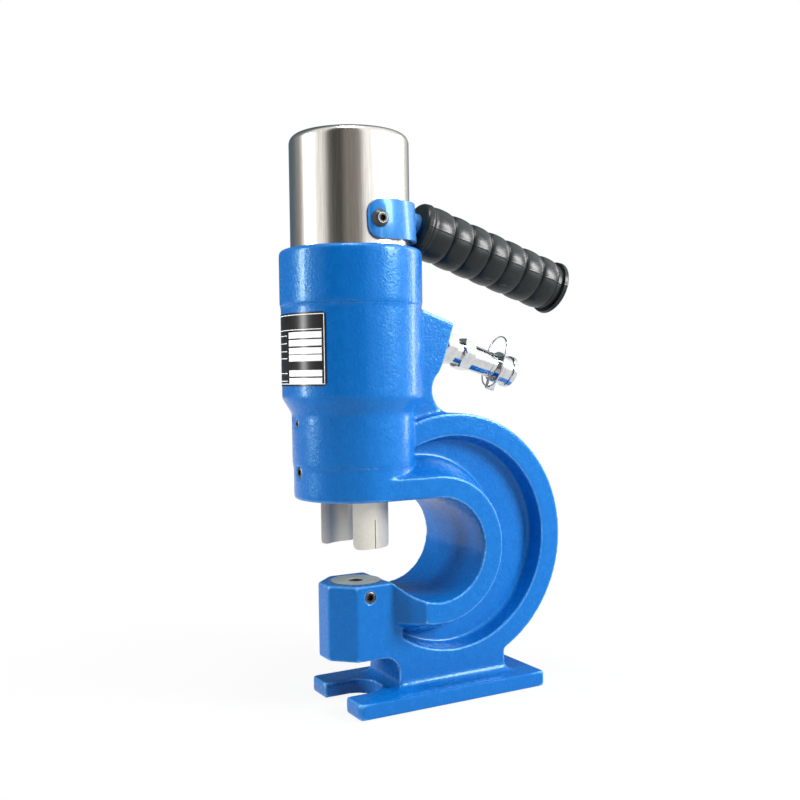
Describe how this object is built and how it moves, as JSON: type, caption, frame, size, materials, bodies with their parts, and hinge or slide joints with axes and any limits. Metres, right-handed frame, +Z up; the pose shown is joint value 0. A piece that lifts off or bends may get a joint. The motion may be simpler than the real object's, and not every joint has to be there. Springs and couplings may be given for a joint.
{
  "type": "hydraulic busbar punch",
  "caption": "Bench hydraulic punch for busbar: a cast C frame on a slotted base, an upright cylinder with a sprung ram, a stripper sleeve over a die, a carrying handle and a hose coupler.",
  "frame": {"origin": "centre of the base's underside, on the bench", "axes": "+Z up along the ram, +X to the back where the handle and the hose coupler are, the throat opens to -X, +Y to the side; the frame is alike on both sides of y = 0"},
  "size_m": [0.2326, 0.1004, 0.399],
  "materials": {
    "frame_paint": "glossy blue paint with a fine orange peel over cast steel",
    "handle_paint": "glossy blue paint on bent steel strip and tube",
    "plate_print": "black printed foil with a plain white border and empty cells",
    "stainless": "finely brushed round the tube, bright vertical reflections",
    "machined_steel": "ground and turned steel",
    "tool_steel": "hardened tool steel, ground",
    "zinc_steel": "bright zinc plate",
    "black_steel": "black oxide with worn bright edges",
    "coupler_chrome": "bright chrome plate",
    "spring_steel": "oiled spring wire",
    "bronze": "turned bearing bronze",
    "brass": "turned brass",
    "seal_rubber": "smooth nitrile rubber",
    "grip_rubber": "matt black moulded rubber with ring grooves"
  },
  "bodies": {
    "frame": {"frame_casting": "frame_paint", "data_plate": "plate_print", "spring_cover": "stainless", "cover_nuts": "zinc_steel", "cylinder_head": "machined_steel", "head_o_ring": "seal_rubber", "tie_rod_seal": "seal_rubber", "stripper_sleeve": "machined_steel", "guide_bush": "bronze", "rod_wiper": "seal_rubber", "stripper_screw": "black_steel", "stop_screw": "black_steel", "die": "tool_steel", "die_screw": "black_steel", "bonded_washer": "zinc_steel", "port_adapter": "coupler_chrome", "coupler_nipple": "coupler_chrome", "handle_screws": "black_steel", "handle_washers": "zinc_steel", "poppet_spring": "spring_steel"},
    "ram_unit": {"ram": "machined_steel", "piston_seal": "seal_rubber", "piston_guide_ring": "bronze", "tie_rod": "machined_steel", "spring_retainer": "zinc_steel", "tie_rod_nut": "zinc_steel", "punch": "tool_steel", "punch_retainer": "tool_steel", "return_spring": "spring_steel"},
    "handle": {"handle_strap": "handle_paint", "handle_tube": "handle_paint", "handle_grip": "grip_rubber"},
    "poppet": {"coupler_poppet": "brass"},
    "cap": {"dust_cap": "coupler_chrome", "cap_tether": "coupler_chrome"}
  },
  "joints": [
    {"name": "ram_slide", "type": "slide", "parent": "frame", "child": "ram_unit", "axis": [0, 0, -1], "range_m": [0, 0.062], "stiffness_N_per_m": 1500, "springref_m": -0.02, "deforming": ["return_spring"]},
    {"name": "handle_tilt", "type": "hinge", "parent": "frame", "child": "handle", "pos_m": [-0.059, 0, 0.336], "axis": [0, -1, 0], "range_deg": [0, 1]},
    {"name": "poppet_slide", "type": "slide", "parent": "frame", "child": "poppet", "axis": [-0.9483, 0, 0.3173], "range_m": [0, 0.003], "stiffness_N_per_m": 800, "springref_m": -0.001},
    {"name": "cap_slide", "type": "slide", "parent": "frame", "child": "cap", "axis": [0.9483, 0, -0.3173], "range_m": [0, 0.02]}
  ]
}
